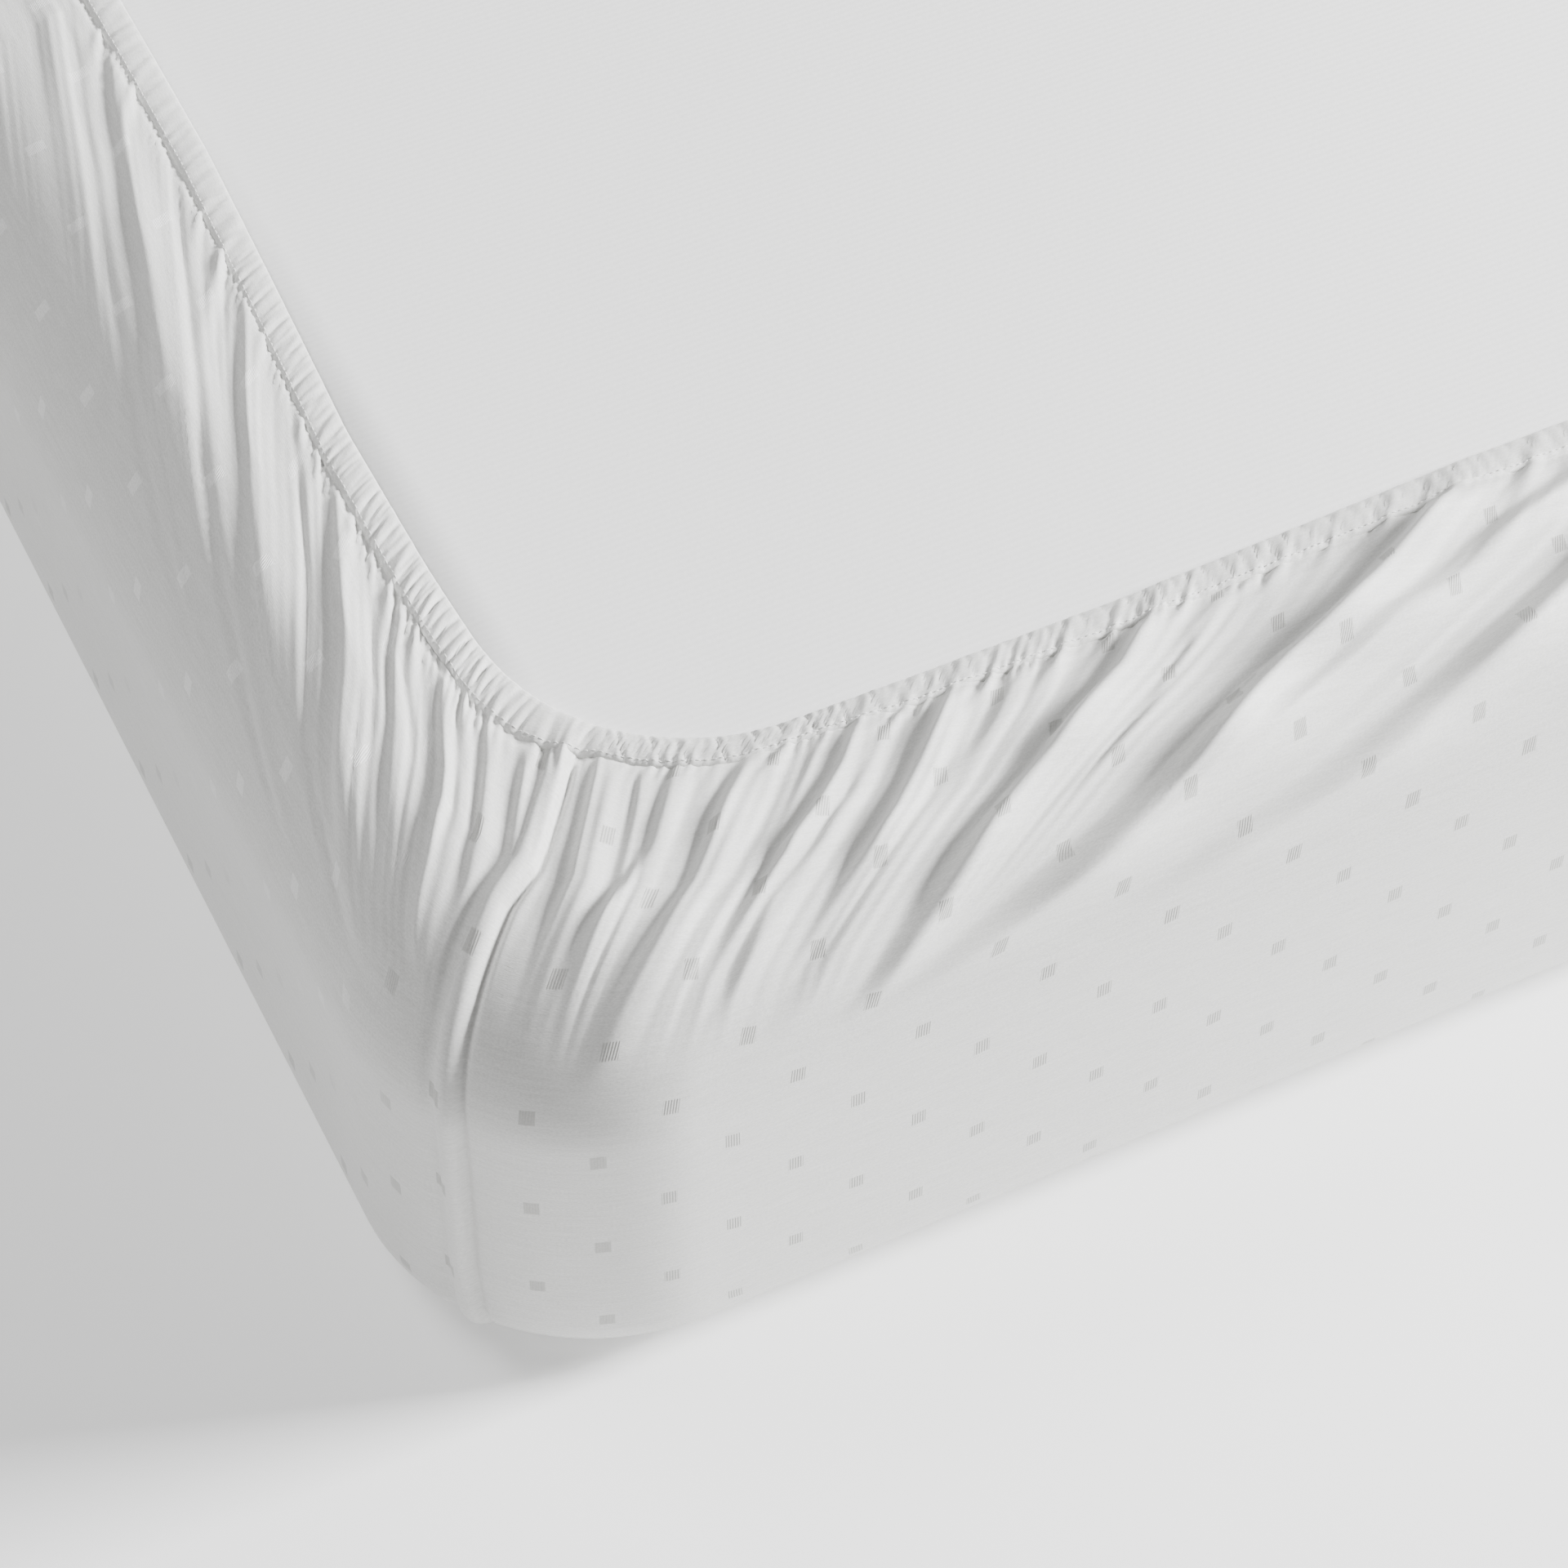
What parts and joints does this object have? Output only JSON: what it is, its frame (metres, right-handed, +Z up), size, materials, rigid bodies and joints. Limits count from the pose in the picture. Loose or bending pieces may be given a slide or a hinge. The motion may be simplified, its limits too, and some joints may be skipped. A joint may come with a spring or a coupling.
{
  "type": "fitted sheet on a mattress",
  "caption": "Fitted bed sheet drawn over a mattress that lies upside down, with the gathered elastic hem and the radiating folds of its turned-in flap on top.",
  "frame": {"origin": "on the floor under the middle of the sheet", "axes": "+X along the mattress's length, +Y across it, +Z up through the elastic opening"},
  "size_m": [2.0032, 1.4035, 0.2024],
  "materials": {
    "sateen": "off-white cotton sateen with small woven dots",
    "ticking": "plain white knitted mattress cover"
  },
  "bodies": {
    "root": {"fitted_sheet": "sateen", "mattress": "ticking"}
  },
  "joints": []
}
